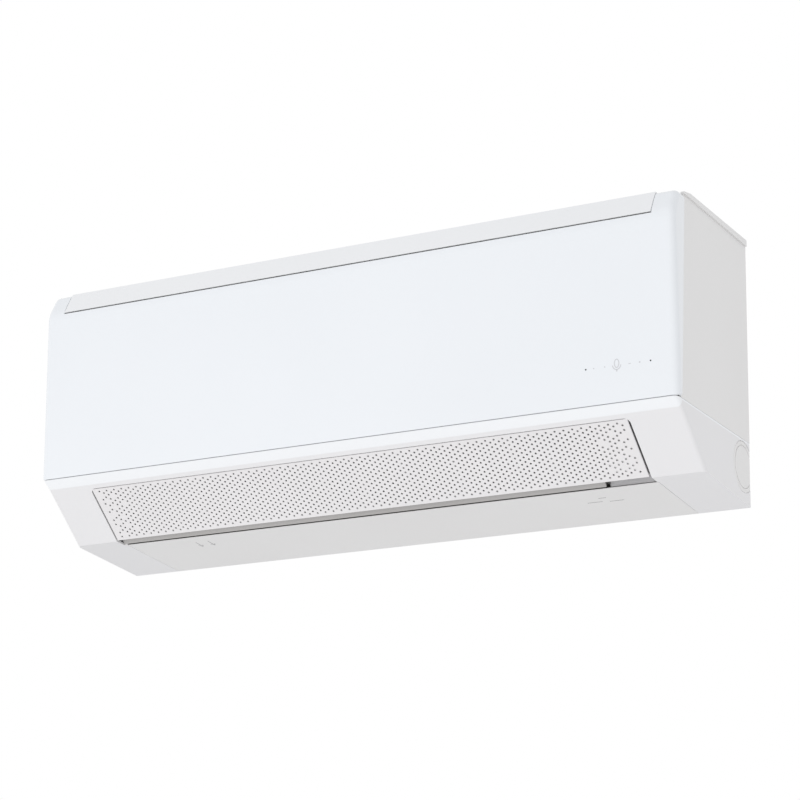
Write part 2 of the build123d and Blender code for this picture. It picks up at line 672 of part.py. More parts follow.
def louver_motor():
    """Small stepper at the louver's left end; its body sits off the pivot, clear of the casing."""
    outside = DUCT_ENDS[0] - PLATE
    centre = on_chamfer(LOUVER_PIVOT[0], LOUVER_PIVOT[1] + 8)
    corners = [on_chamfer(*corner) for corner in ((-9, 13), (21, 13), (21, 19), (-9, 19))]
    ears = prism(corners, (outside - 2, outside - 0.2))
    return rod(centre, 12, (outside - 19, outside - 0.2)) + ears


def vane_motors():
    """One small stepper outside each end plate, in line with the link bars."""
    centre = (84, 54)
    left, right = DUCT_ENDS[0] - PLATE, DUCT_ENDS[1] + PLATE
    return [rod(centre, 12, (left - 18, left - 0.2)), rod(centre, 12, (right + 0.4, right + 16))]


# ---------------------------------------------------------------- filters
def filter_frame(x):
    """Flat frame with upright ribs; its top bar is the grip in the casing's slot."""
    d = FILTER_PLANE
    whole = block(x, d, (FILTER_FOOT, TOP + 0.5))
    windows = []
    columns = 4
    pitch = (x[1] - x[0] - 8) / columns
    for column in range(columns):
        low = x[0] + 8 + column * pitch
        for z in ((108, 164), (170, 228), (234, 292)):
            windows.append(block((low, low + pitch - 8), (d[0] - 1, d[1] + 1), z))
    groove = block((x[0] + 4, x[1] - 4), (190.9, 192.1), (FILTER_FOOT + 4, 296))
    return whole - windows - groove


def filter_mesh(x):
    """Fine net in the frame's groove."""
    return block((x[0] + 4.5, x[1] - 4.5), (191.1, 191.9), (FILTER_FOOT + 4.5, 295.5))


# ---------------------------------------------------------------- electrics
def electric_box():
    """Open-fronted box for the control board."""
    x, d, z = E_BOX
    return block(x, d, z) - block((x[0] + 2, x[1] - 2), (d[0] + 2, d[1] + 1), (z[0] + 2, z[1] - 2))


def electric_box_cover():
    """Lid of the electric box, with a shallow lip inside."""
    x, d, z = E_BOX
    lid = block((x[0] - 1, x[1] + 1), (d[1] + 0.1, d[1] + 2.1), (z[0] - 1, z[1] + 1))
    lip = block((x[0] + 2.3, x[1] - 2.3), (d[1] - 3, d[1] + 1), (z[0] + 2.3, z[1] - 2.3))
    hollow = block((x[0] + 4, x[1] - 4), (d[1] - 4, d[1] + 0.1), (z[0] + 4, z[1] - 4))
    return lid + (lip - hollow)


def control_board():
    """Main circuit board on four posts from the box's floor."""
    x, d, z = BOARD
    posts = [
        pin(px, pz, 3, (E_BOX[1][0] + 2, d[0] + 0.5))
        for px in (x[0] + 6, x[1] - 6)
        for pz in (z[0] + 6, z[1] - 6)
    ]
    return block(x, d, z) + posts


def board_parts():
    """Large parts on the board: smoothing capacitor, fan capacitor, relays, transformer."""
    face = BOARD[1][1] + 0.05
    return [
        pin(322, 262, 11, (face, face + 32)),
        block((342, 374), (face, face + 24), (246, 274)),
        block((310, 330), (face, face + 16), (218, 238)),
        block((336, 352), (face, face + 18), (216, 238)),
        block((354, 376), (face, face + 22), (190, 222)),
        block((310, 346), (face, face + 8), (190, 206)),
    ]


def terminal_block():
    """Screw terminals under the electric box."""
    body = block((352, 398), (146, 176), (118, 171.8))
    cells = [block((366, 384), (165, 177), (z, z + 8)) for z in (124, 135, 146, 157)]
    return body - cells


def display_board():
    """Narrow board behind the front panel's light marks."""
    return block((302, 391), (188.6, 190.2), (103, 122))


def light_guide():
    """Clear rod in front of each lamp."""
    return [pin(x, DISPLAY_HEIGHT, 2.4, (190.3, 199.5)) for x in DISPLAY_MARKS]


def emergency_button():
    """Button through the front frame, with a collar behind it."""
    return pin(*BUTTON_PLACE, 3.9, (184.8, 191)) + pin(*BUTTON_PLACE, 5.5, (184.8, 186.2))


def casing_screws():
    """Four pan-head screws through the front frame into the casing's tabs."""
    screws = []
    for z in SCREW_ROWS:
        screws += both(pin(396, z, SCREW_RADIUS, (177, 189)) + pin(396, z, 3.6, (188.55, 191)))
    return screws


# ---------------------------------------------------------------- front panel
def panel_section():
    """Side view of the panel's raised end."""
    heel = (183.5, HINGE[1]), (184.3, 306.2), (HINGE[0], TOP)
    return [*heel, TOP_FRONT, PANEL_TOP, PANEL_FOOT, (196, PANEL_FOOT[1])]


def front_panel():
    """Front panel: one moulding with raised ends, rounded edges and a cut-out for the recess strip."""
    half = PANEL_HALF_LENGTH
    solid = prism(panel_section(), (-half, half))
    for corner, radius in zip((TOP_FRONT, PANEL_TOP), CROWN_RADII):
        crown = solid.edges().filter_by(Axis.X).sort_by_distance((0, *flat(corner)))[0]
        solid = fillet(crown, radius)
    ends = solid.edges().filter_by(lambda e: abs(abs(e.center().X) - half) < 1e-3)
    rims = ends.filter_by(lambda e: e.center().Y < -192 and e.center().Z > PANEL_FOOT[1] + 1)
    solid = fillet(rims, PANEL_RIM_RADIUS)
    outline = block((-half, half), (150, 230), (PANEL_FOOT[1], TOP + 5))
    solid &= fillet(outline.edges().filter_by(Axis.Y).sort_by(Axis.Z)[:2], PANEL_CORNER_RADIUS)
    foot = PANEL_FOOT[1] + WALL
    hollow = prism(
        [(170, TOP - WALL), (TOP_FRONT[0] - 6, TOP - WALL), (TOP_FRONT[0] - 2, TOP - 6),
         (PANEL_TOP[0] - WALL - 1, PANEL_TOP[1] - 3), (panel_face(LINER[1] + 2) - WALL, LINER[1] + 2),
         (panel_face(foot) - WALL, foot), (PANEL_FOOT_BACK, foot),
         (PANEL_FOOT_BACK, foot - 5), (170, foot - 5)],
        (WALL - half, half - WALL),
    )
    end_x = (RECESS_HALF_LENGTH, RECESS_HALF_LENGTH + WALL)
    webs = both(block(end_x, (196, 220), (270, TOP + 1)))
    lugs = both(block(end_x, (183, 200), (298, TOP + 1)))
    end_walls = [(solid & (web + lug)) for web, lug in zip(webs, lugs)]
    edge = PANEL_TOP[1] - GAP
    recess = prism(
        [(180, TOP + 5), (180, edge - WALL), (211.5, edge - WALL), (214, edge), (225, edge), (225, TOP + 5)],
        (-RECESS_HALF_LENGTH, RECESS_HALF_LENGTH),
    )
    return (solid - hollow + end_walls) - recess


def panel_liner():
    """Stiff backing sheet behind the panel's face."""
    low, high = LINER
    thickness = 2.0
    skin = WALL + 0.15
    section = [
        (panel_face(low) - skin, low), (panel_face(high) - skin, high),
        (panel_face(high) - skin - thickness, high), (panel_face(low) - skin - thickness, low),
    ]
    return prism(section, (-392, 392))


def panel_hinge_pins():
    """Pins from the panel's raised ends into the casing."""
    return both(rod(HINGE, HINGE_PIN_RADIUS, (376, RECESS_HALF_LENGTH)))


# ---------------------------------------------------------------- all pieces
def pieces():
    """Every piece of the unit by name."""
    places = vane_places()
    made = {
        "wall_plate": wall_plate(),
        "chassis": chassis(),
        "duct_ends": duct_ends(),
        "drip_tray": drip_tray(),
        "drain_plug": drain_plug(),
        "casing_cover": casing_cover(),
        "top_grille": top_grille(),
        "recess_trim": recess_trim(),
        "front_frame": front_frame(),
        "lower_casing": lower_casing(),
        "bottom_cover": bottom_cover(),
        "pipe_knockouts": pipe_knockouts(),
        "tube_sheets": tube_sheets(),
        "u_bends": bends(COIL_ENDS[0] - 2.05, -1),
        "return_bends": bends(COIL_ENDS[1] + 2.05, 1),
        "suction_pipe": suction_pipe(),
        "liquid_pipe": liquid_pipe(),
        "flare_nuts": flare_nuts(),
        "pipe_clamp": pipe_clamp(),
        "fan_wheel": fan_wheel(),
        "fan_shaft": fan_shaft(),
        "bearing_bush": bearing_bush(),
        "bearing_housing": bearing_housing(),
        "fan_motor": fan_motor(),
        "motor_cover": motor_cover(),
        "louver_skin": louver_skin(),
        "louver_carrier": louver_carrier(),
        "louver_motor": louver_motor(),
        "vane_motors": vane_motors(),
        "link_bar_left": link_bar(places[:VANES_PER_BAR]),
        "link_bar_right": link_bar(places[VANES_PER_BAR:]),
        "electric_box": electric_box(),
        "electric_box_cover": electric_box_cover(),
        "control_board": control_board(),
        "board_parts": board_parts(),
        "terminal_block": terminal_block(),
        "display_board": display_board(),
        "light_guide": light_guide(),
        "emergency_button": emergency_button(),
        "casing_screws": casing_screws(),
        "front_panel": front_panel(),
        "panel_liner": panel_liner(),
        "panel_hinge_pins": panel_hinge_pins(),
    }
    for name in COILS:
        made[name] = coil_block(name)
    for k, x in enumerate(places):
        made[f"vane_{k + 1}"] = vane(x)
    for side, x in FILTERS.items():
        made[f"filter_frame_{side}"] = filter_frame(x)
        made[f"filter_mesh_{side}"] = filter_mesh(x)
    return made


def write(name, shape):
    """One STEP file per piece, moved to the written frame."""
    solids = shape if isinstance(shape, list) else [shape]
    moved = [Pos(0, 0, -SCREW_CENTRE_HEIGHT) * solid for solid in solids]
    export_step(moved[0] if len(moved) == 1 else Compound(children=moved), f"parts/{name}.step")


os.makedirs("parts", exist_ok=True)
for piece_name, piece in pieces().items():
    write(piece_name, piece)
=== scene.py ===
# %% [markdown]
# # A wall-mounted mini split indoor unit
# The casing, louver, fan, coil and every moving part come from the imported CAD
# model. This script gives them their finishes, adds what is too fine for the
# CAD model (the louver's holes, the coil's fins, the light marks), and sets up
# a small studio.

# %% Load the fixed frame
import math

import bmesh
import bpy
from mathutils import Matrix, Vector


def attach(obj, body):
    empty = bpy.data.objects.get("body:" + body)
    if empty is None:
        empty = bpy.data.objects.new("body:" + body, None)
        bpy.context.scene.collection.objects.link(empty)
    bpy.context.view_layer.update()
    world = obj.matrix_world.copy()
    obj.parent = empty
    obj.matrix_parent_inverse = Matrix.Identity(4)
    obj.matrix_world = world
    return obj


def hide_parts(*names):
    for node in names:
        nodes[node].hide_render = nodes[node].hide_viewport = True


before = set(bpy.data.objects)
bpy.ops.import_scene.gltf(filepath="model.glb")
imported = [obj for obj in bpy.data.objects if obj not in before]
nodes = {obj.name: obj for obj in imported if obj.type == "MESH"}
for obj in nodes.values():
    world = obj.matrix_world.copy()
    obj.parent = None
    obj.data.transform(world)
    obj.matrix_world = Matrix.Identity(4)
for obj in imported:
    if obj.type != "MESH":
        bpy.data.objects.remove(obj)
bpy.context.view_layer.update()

# %% [markdown]
# ## Helpers for materials
# A moulded plastic is never one flat colour: its tone drifts a little over a
# long part, and its skin has a fine grain that breaks up the highlights. Both
# can come from noise in Object coordinates, which stay put when a part moves.
# One helper builds that and every finish below tunes it.


# %% Node helpers
def new_material(name):
    """An empty node material with its shader and output."""
    material = bpy.data.materials.new(name)
    material.use_nodes = True
    tree = material.node_tree
    tree.nodes.clear()
    output = tree.nodes.new("ShaderNodeOutputMaterial")
    shader = tree.nodes.new("ShaderNodeBsdfPrincipled")
    tree.links.new(shader.outputs["BSDF"], output.inputs["Surface"])
    return material, tree, shader


def object_position(tree, scale=(1, 1, 1), turn=(0, 0, 0)):
    """Object coordinates through a Mapping node."""
    coordinates = tree.nodes.new("ShaderNodeTexCoord")
    mapping = tree.nodes.new("ShaderNodeMapping")
    mapping.inputs["Scale"].default_value = scale
    mapping.inputs["Rotation"].default_value = turn
    tree.links.new(coordinates.outputs["Object"], mapping.inputs["Vector"])
    return mapping.outputs["Vector"]


def noise(tree, vector, scale, detail=3.0):
    """Noise between 0 and 1 at so many waves a metre."""
    texture = tree.nodes.new("ShaderNodeTexNoise")
    texture.inputs["Scale"].default_value = scale
    texture.inputs["Detail"].default_value = detail
    tree.links.new(vector, texture.inputs["Vector"])
    return texture.outputs["Fac"]


def between(tree, value, low, high):
    """Turns 0 to 1 into low to high."""
    spread = tree.nodes.new("ShaderNodeMapRange")
    spread.inputs["To Min"].default_value = low
    spread.inputs["To Max"].default_value = high
    tree.links.new(value, spread.inputs["Value"])
    return spread.outputs["Result"]


def two_tones(tree, value, first, second, low=0.3, high=0.7):
    """A colour ramp between two tones."""
    ramp = tree.nodes.new("ShaderNodeValToRGB")
    ramp.color_ramp.elements[0].position = low
    ramp.color_ramp.elements[0].color = (*first, 1)
    ramp.color_ramp.elements[1].position = high
    ramp.color_ramp.elements[1].color = (*second, 1)
    tree.links.new(value, ramp.inputs["Fac"])
    return ramp.outputs["Color"]


def highest(tree, values):
    """The highest of several values."""
    top = values[0]
    for value in values[1:]:
        node = tree.nodes.new("ShaderNodeMath")
        node.operation = "MAXIMUM"
        tree.links.new(top, node.inputs[0])
        tree.links.new(value, node.inputs[1])
        top = node.outputs["Value"]
    return top


def bump(tree, shader, height, distance, strength=1.0):
    """Feeds a height, in metres at distance, to the shader's normal."""
    node = tree.nodes.new("ShaderNodeBump")
    node.inputs["Strength"].default_value = strength
    node.inputs["Distance"].default_value = distance
    tree.links.new(height, node.inputs["Height"])
    tree.links.new(node.outputs["Normal"], shader.inputs["Normal"])


def moulded(name, light, dark, rough=(0.3, 0.4), grain=900.0, depth=0.00002, coat=0.0):
    """Injection-moulded plastic: slow drift of tone, fine grain, uneven polish."""
    material, tree, shader = new_material(name)
    place = object_position(tree)
    drift = noise(tree, place, 3.0, 2.0)
    tree.links.new(two_tones(tree, drift, dark, light), shader.inputs["Base Color"])
    polish = noise(tree, place, 14.0, 4.0)
    tree.links.new(between(tree, polish, *rough), shader.inputs["Roughness"])
    bump(tree, shader, noise(tree, place, grain, 2.0), depth, 0.5)
    shader.inputs["Coat Weight"].default_value = coat
    shader.inputs["Coat Roughness"].default_value = 0.12
    return material


print("helpers ready")

# %% [markdown]
# ## The casing's plastics
# The front panel is a glossy, slightly bluish white sheet. The casing round it
# is a warmer satin white, and the perforated louver is warmer still. The base
# colours are linear values, chosen so that each surface comes out about as
# light as it does in the photograph.

# %% Casing finishes
panel_white = moulded(
    "panel_white", (0.845, 0.865, 0.895), (0.825, 0.845, 0.875), (0.16, 0.22), 500, 0.000008, 0.35
)
casing_white = moulded("casing_white", (0.81, 0.80, 0.795), (0.785, 0.77, 0.765), (0.34, 0.44))
lower_white_with_highlights = moulded("lower_white_with_highlights", (0.82, 0.81, 0.82), (0.80, 0.79, 0.80), (0.3, 0.4))
strip_white = moulded("strip_white", (0.87, 0.875, 0.89), (0.85, 0.855, 0.87), (0.22, 0.3))
louver_white = moulded("louver_white", (0.82, 0.80, 0.805), (0.79, 0.77, 0.775), (0.36, 0.46))
inner_white = moulded(
    "inner_white", (0.62, 0.61, 0.60), (0.56, 0.55, 0.545), (0.45, 0.6), 700, 0.00004
)
duct_white = moulded(
    "duct_white", (0.50, 0.485, 0.475), (0.45, 0.435, 0.425), (0.45, 0.6), 700, 0.00004
)
# The louver's carrier and the duct's ends are given a dark grey that is painted shade: it stands
# for the shadow seen through the louver's holes and in the gaps round it.
painted_shade_grey = moulded(
    "painted_shade_grey", (0.24, 0.235, 0.235), (0.20, 0.195, 0.195), (0.45, 0.6), 700, 0.00003
)
vane_white = moulded(
    "vane_white", (0.60, 0.59, 0.585), (0.55, 0.545, 0.54), (0.4, 0.5), 700, 0.00003
)
print("casing finishes ready")

# %% [markdown]
# ## The lower casing
# The lower casing is one moulding, but its front lip gets a painted highlight that
# makes it as bright as the panel above it, and a thin painted highlight line marks
# its joint with the upper casing. Both come from steps along Object Y and Z that
# mix in a second, whiter tone.


# %% The lower casing's finish and painted highlights
MIX_FIRST_COLOUR, MIX_SECOND_COLOUR, MIX_COLOUR_OUT = 6, 7, 2  # sockets of the colour mix node


def step_along(tree, axis, start, end):
    """0 before start and 1 after end, along one axis of the Object coordinates."""
    split = tree.nodes.new("ShaderNodeSeparateXYZ")
    tree.links.new(object_position(tree), split.inputs["Vector"])
    ramp = tree.nodes.new("ShaderNodeMapRange")
    ramp.interpolation_type = "SMOOTHSTEP"
    ramp.inputs["From Min"].default_value = start
    ramp.inputs["From Max"].default_value = end
    tree.links.new(split.outputs[axis], ramp.inputs["Value"])
    return ramp.outputs["Result"]


def paint_highlight_where(material, masks, tone):
    """Paints a highlight: mixes a whiter tone into a finish's base colour wherever one of the masks
    is 1.
    """
    tree = material.node_tree
    shader = next(node for node in tree.nodes if node.type == "BSDF_PRINCIPLED")
    plain_colour = shader.inputs["Base Color"].links[0].from_socket
    mix = tree.nodes.new("ShaderNodeMix")
    mix.data_type = "RGBA"
    tree.links.new(highest(tree, [mask(tree) for mask in masks]), mix.inputs["Factor"])
    tree.links.new(plain_colour, mix.inputs[MIX_FIRST_COLOUR])
    mix.inputs[MIX_SECOND_COLOUR].default_value = (*tone, 1)
    tree.links.new(mix.outputs[MIX_COLOUR_OUT], shader.inputs["Base Color"])


# Painted highlights: the front lip, forward of these Y places, and a thin band along the top edge,
# above the seam's height, get a whiter tone.
LIP_HIGHLIGHT_START_Y = -0.1915
LIP_HIGHLIGHT_FULL_Y = -0.1935
SEAM_HIGHLIGHT_Z = -0.1183
SEAM_HIGHLIGHT_BLUR = 0.0004
paint_highlight_where(
    lower_white_with_highlights,
    [
        lambda tree: step_along(tree, "Y", LIP_HIGHLIGHT_START_Y, LIP_HIGHLIGHT_FULL_Y),
        lambda tree: step_along(tree, "Z", SEAM_HIGHLIGHT_Z - SEAM_HIGHLIGHT_BLUR, SEAM_HIGHLIGHT_Z),
    ],
    (0.91, 0.92, 0.94),
)
print("lower casing's finish ready")

# %% [markdown]
# ## Foam, rubber and dark plastics
# The drip tray is expanded foam: round beads pressed together, which a Voronoi
# pattern shows well. Rubber and the black mouldings are dark but never pure
# black, and they scatter light softly.


# %% Foam, rubber, dark mouldings
def beaded_foam(name, tone):
    """Expanded foam: flattened beads with dark joints."""
    material, tree, shader = new_material(name)
    cells = tree.nodes.new("ShaderNodeTexVoronoi")
    cells.inputs["Scale"].default_value = 320.0
    tree.links.new(object_position(tree), cells.inputs["Vector"])
    joint = tuple(channel * 0.86 for channel in tone)
    colour = two_tones(tree, cells.outputs["Distance"], tone, joint, 0.3, 0.8)
    tree.links.new(colour, shader.inputs["Base Color"])
    shader.inputs["Roughness"].default_value = 0.85
    bump(tree, shader, cells.outputs["Distance"], -0.0002, 0.6)
    return material


foam_white = beaded_foam("foam_white", (0.80, 0.80, 0.78))
rubber_black = moulded(
    "rubber_black", (0.045, 0.045, 0.045), (0.03, 0.03, 0.03), (0.65, 0.8), 1200, 0.00005
)
black_moulding = moulded("black_moulding", (0.06, 0.06, 0.065), (0.045, 0.045, 0.05), (0.4, 0.55))
wheel_grey = moulded("wheel_grey", (0.17, 0.175, 0.185), (0.13, 0.135, 0.145), (0.4, 0.5))
filter_blue = moulded("filter_blue", (0.17, 0.30, 0.42), (0.14, 0.26, 0.37), (0.4, 0.5))
print("dark finishes ready")

# %% [markdown]
# ## Metals
# Galvanised sheet shows flat crystals of zinc, each with its own brightness, so
# a Voronoi cell colour drives both tone and roughness. Drawn copper tube is
# streaked and a little tarnished, and ground steel carries fine lines.


# %% Metals
def metal(name, light, dark, rough, pattern_scale, stretch=(1, 1, 1), cells=False):
    """Bare metal with a pattern of crystals, streaks or grinding lines."""
    material, tree, shader = new_material(name)
    place = object_position(tree, stretch)
    if cells:
        texture = tree.nodes.new("ShaderNodeTexVoronoi")
        texture.inputs["Scale"].default_value = pattern_scale
        tree.links.new(place, texture.inputs["Vector"])
        split = tree.nodes.new("ShaderNodeSeparateColor")
        tree.links.new(texture.outputs["Color"], split.inputs["Color"])
        pattern = split.outputs["Red"]
    else:
        pattern = noise(tree, place, pattern_scale, 4.0)
    tree.links.new(two_tones(tree, pattern, dark, light, 0.1, 0.9), shader.inputs["Base Color"])
    tree.links.new(between(tree, pattern, *rough), shader.inputs["Roughness"])
    shader.inputs["Metallic"].default_value = 1.0
    bump(tree, shader, noise(tree, place, pattern_scale * 4, 2.0), 0.00002, 0.4)
    return material


zinc_sheet = metal(
    "zinc_sheet", (0.74, 0.75, 0.76), (0.58, 0.59, 0.61), (0.3, 0.5), 110, cells=True
)
copper_tube = metal(
    "copper_tube", (0.86, 0.46, 0.28), (0.66, 0.32, 0.19), (0.24, 0.4), 40, (0.4, 1, 1)
)
turned_brass = metal(
    "turned_brass", (0.80, 0.63, 0.32), (0.66, 0.50, 0.24), (0.22, 0.34), 60, (6, 1, 1)
)
ground_steel = metal(
    "ground_steel", (0.66, 0.66, 0.67), (0.52, 0.52, 0.53), (0.22, 0.36), 90, (8, 1, 1)
)
motor_shell = metal("motor_shell", (0.60, 0.61, 0.62), (0.50, 0.51, 0.52), (0.35, 0.5), 60)
fin_metal = metal("fin_metal", (0.80, 0.82, 0.85), (0.66, 0.69, 0.73), (0.3, 0.45), 50)
print("metals ready")

# %% [markdown]
# ## Boards, cases and the clear rods
# A circuit board is a green mask with faint lines of copper under it: a brick
# pattern on Object coordinates gives straight lines at board scale. The rods
# that carry lamp light are clear acrylic.


# %% Boards and clear rods
def circuit_board(name):
    """Green solder mask with the copper's straight lines showing through."""
    material, tree, shader = new_material(name)
    lines = tree.nodes.new("ShaderNodeTexBrick")
    lines.inputs["Scale"].default_value = 130.0
    lines.inputs["Mortar Size"].default_value = 0.06
    lines.inputs["Color1"].default_value = (0.012, 0.10, 0.045, 1)
    lines.inputs["Color2"].default_value = (0.016, 0.13, 0.055, 1)
    lines.inputs["Mortar"].default_value = (0.05, 0.26, 0.11, 1)
    tree.links.new(object_position(tree, turn=(math.radians(90), 0, 0)), lines.inputs["Vector"])
    tree.links.new(lines.outputs["Color"], shader.inputs["Base Color"])
    shader.inputs["Roughness"].default_value = 0.35
    bump(tree, shader, lines.outputs["Fac"], 0.00005)
    return material


def clear_rod(name):
    """Clear acrylic with a slightly uneven polish."""
    material, tree, shader = new_material(name)
    shader.inputs["Transmission Weight"].default_value = 1.0
    shader.inputs["IOR"].default_value = 1.49
    shader.inputs["Base Color"].default_value = (0.93, 0.96, 0.98, 1)
    haze = noise(tree, object_position(tree), 400.0)
    tree.links.new(between(tree, haze, 0.03, 0.1), shader.inputs["Roughness"])
    return material


board_green = circuit_board("board_green")
clear_acrylic = clear_rod("clear_acrylic")
case_dark = moulded("case_dark", (0.09, 0.09, 0.10), (0.05, 0.05, 0.06), (0.35, 0.5))
print("board finishes ready")

# %% [markdown]
# ## The filter's net
# The filter is a woven net. A real one has about a thousand threads across, so
# it is a pattern and not a mesh: two wave textures cross, and where neither has
# a thread the surface is clear.


# %% Filter net
WAVE_SCALE_TIMES_PITCH = 0.314  # a wave texture of scale 1 repeats every 0.314 m


def woven_net(name, thread, pitch):
    """Net of crossing threads with clear gaps."""
    material, tree, shader = new_material(name)
    place = object_position(tree)
    threads = []
    for direction in ("X", "Z"):
        wave = tree.nodes.new("ShaderNodeTexWave")
        wave.bands_direction = direction
        wave.inputs["Scale"].default_value = WAVE_SCALE_TIMES_PITCH / pitch
        tree.links.new(place, wave.inputs["Vector"])
        threads.append(wave.outputs["Fac"])
    woven = highest(tree, threads)
    cover = tree.nodes.new("ShaderNodeMapRange")
    cover.inputs["From Min"].default_value = 0.45
    cover.inputs["From Max"].default_value = 0.65
    cover.inputs["To Min"].default_value = 0.25
    tree.links.new(woven, cover.inputs["Value"])
    tree.links.new(cover.outputs["Result"], shader.inputs["Alpha"])
    dark = tuple(channel * 0.7 for channel in thread)
    tree.links.new(two_tones(tree, woven, dark, thread), shader.inputs["Base Color"])
    shader.inputs["Roughness"].default_value = 0.6
    bump(tree, shader, woven, 0.0001)
    return material


net_grey = woven_net("net_grey", (0.13, 0.17, 0.22), 0.0012)
print("net ready")

# %% [markdown]
# ## Give every CAD node its finish
# One table pairs each finish with the nodes that wear it. A node left out of
# the table would keep the colour it came with, so the names of such nodes are
# printed.

# %% Finishes on the CAD nodes
wears = {
    panel_white: ["front_panel"],
    casing_white: [
        "casing_cover", "bottom_cover", "pipe_knockouts", "top_grille", "emergency_button",
    ],
    lower_white_with_highlights: ["lower_casing"],
    strip_white: ["recess_trim"],
    louver_white: ["louver_skin"],
    inner_white: ["front_frame", "panel_liner", "motor_cover", "electric_box"],
    duct_white: ["chassis"],
    # The carrier and the duct's ends wear the dark grey of painted shade.
    painted_shade_grey: ["louver_carrier", "duct_ends"],
    vane_white: ["link_bar_left", "link_bar_right"] + [f"vane_{k}" for k in range(1, 11)],
    foam_white: ["drip_tray"],
    rubber_black: ["drain_plug", "bearing_bush"],
    black_moulding: ["pipe_clamp", "bearing_housing", "terminal_block"],
    wheel_grey: ["fan_wheel"],
    filter_blue: ["filter_frame_left", "filter_frame_right"],
    zinc_sheet: ["wall_plate", "tube_sheets", "electric_box_cover"],
    copper_tube: ["u_bends", "return_bends", "suction_pipe", "liquid_pipe"],
    turned_brass: ["flare_nuts"],
    ground_steel: ["panel_hinge_pins", "fan_shaft", "casing_screws"],
    motor_shell: ["fan_motor", "louver_motor", "vane_motors"],
    fin_metal: ["coil_front", "coil_top", "coil_rear"],
    board_green: ["control_board", "display_board"],
    clear_acrylic: ["light_guide"],
    case_dark: ["board_parts"],
    net_grey: ["filter_mesh_left", "filter_mesh_right"],
}
dressed = set()
for material, names in wears.items():
    for name in names:
        nodes[name].data.materials.clear()
        nodes[name].data.materials.append(material)
        dressed.add(name)
print("nodes without a finish:", sorted(set(nodes) - dressed))

# %% [markdown]
# ## The perforated louver
# The louver's skin is a sheet with about 1,500 small holes in a staggered
# lattice. A boolean with that many cylinders is slow and leaves poor faces.
# Here a grid is laid out at half the holes' pitch, so two neighbouring quads
# make one cell round a hole; the pair is dissolved into one face, inset, and
# its inner edge is pulled onto a circle. Neighbouring columns are shifted by
# half a cell, and the grid's corners still meet. Solidify then gives the sheet
# its thickness and the holes their walls.

# %% Louver sheet: where it lies
SCREW_CENTRE_HEIGHT = 0.190  # the frame's origin above the unit's lowest edge
CHAMFER_FOOT = Vector((0, -0.128, 0.010 - SCREW_CENTRE_HEIGHT))
CHAMFER_TOP = Vector((0, -0.192, 0.0643 - SCREW_CENTRE_HEIGHT))


def surface_frame(foot, top):
    """X along the unit, Y from foot to top, Z out of the surface, and origin at the foot."""
    upward = (top - foot).normalized()
    out = Vector((1, 0, 0)).cross(upward)
    return Matrix((
        (1, upward.x, out.x, foot.x),
        (0, upward.y, out.y, foot.y),
        (0, upward.z, out.z, foot.z),
        (0, 0, 0, 1),
    ))


slope_frame = surface_frame(CHAMFER_FOOT, CHAMFER_TOP)
print("the sheet faces", [round(v, 3) for v in slope_frame.col[2][:3]])

# %% Louver sheet: the lattice's measures
HOLE_RADIUS = 0.0013
HOLE_MARGIN = 0.0009  # from a cell's edge to its hole's first outline
COLUMN_PITCH = 0.00525
ROW_PITCH = 0.003057
FIRST_COLUMN = -0.3406
TOP_ROW = 0.07325
COLUMNS = 130
ROWS = 23
SHEET_X = (-0.3491, 0.3443)
SHEET_V = (0.0013, 0.0775)
SHEET_THICKNESS = 0.0013
SHEET_INSET = 0.0003
BARE_CELLS = {
    0: (2, 8, 12, 18), 1: (5, 11, 15, 21), 2: (8,), 3: (3, 13, 17), 5: (7, 19),
    123: (7, 19), 124: (8,), 126: (4, 14, 18), 127: (9,), 128: (2, 6, 12, 16, 22),
    129: (5, 9, 13, 19),
}  # rows without a hole, in the columns near both ends
TOUCH = 1e-6  # two places nearer than this are the same
print("lattice:", COLUMNS, "columns of", ROWS, "rows")


# %% Louver sheet: cells, holes, rim
def perforated_sheet():
    """The louver's skin as an open sheet, face up, in the slope's own frame."""
    bm = bmesh.new()
    half_cells = ROWS + 1
    bmesh.ops.create_grid(bm, x_segments=COLUMNS, y_segments=half_cells, size=0.5)
    width, height = COLUMNS * COLUMN_PITCH, half_cells * ROW_PITCH
    left = FIRST_COLUMN - COLUMN_PITCH / 2
    top = TOP_ROW + ROW_PITCH
    bmesh.ops.scale(bm, vec=(width, height, 1), verts=bm.verts)
    bmesh.ops.translate(bm, vec=(left + width / 2, top - height / 2, 0), verts=bm.verts)
    shared = []
    for edge in bm.edges:
        middle = (edge.verts[0].co + edge.verts[1].co) / 2
        along = abs(edge.verts[0].co.x - edge.verts[1].co.x) > COLUMN_PITCH / 2
        column = round((middle.x - FIRST_COLUMN) / COLUMN_PITCH)
        row = round((TOP_ROW - middle.y) / ROW_PITCH)
        staggered = 0 <= row < ROWS and row % 2 == column % 2
        if along and staggered and row not in BARE_CELLS.get(column, ()):
            shared.append(edge)
    bmesh.ops.dissolve_edges(bm, edges=shared, use_verts=False)
    cells = [face for face in bm.faces if len(face.verts) == 6]
    bmesh.ops.inset_individual(bm, faces=cells, thickness=HOLE_MARGIN, use_even_offset=True)
    rims = [edge for face in cells for edge in face.edges]
    bmesh.ops.subdivide_edges(bm, edges=rims, cuts=1, use_grid_fill=False)
    for face in cells:
        centre = face.calc_center_median()
        for vert in face.verts:
            vert.co = centre + (vert.co - centre).normalized() * HOLE_RADIUS
    print("holes in the louver:", len(cells))
    bmesh.ops.delete(bm, geom=cells, context="FACES_ONLY")
    return bm


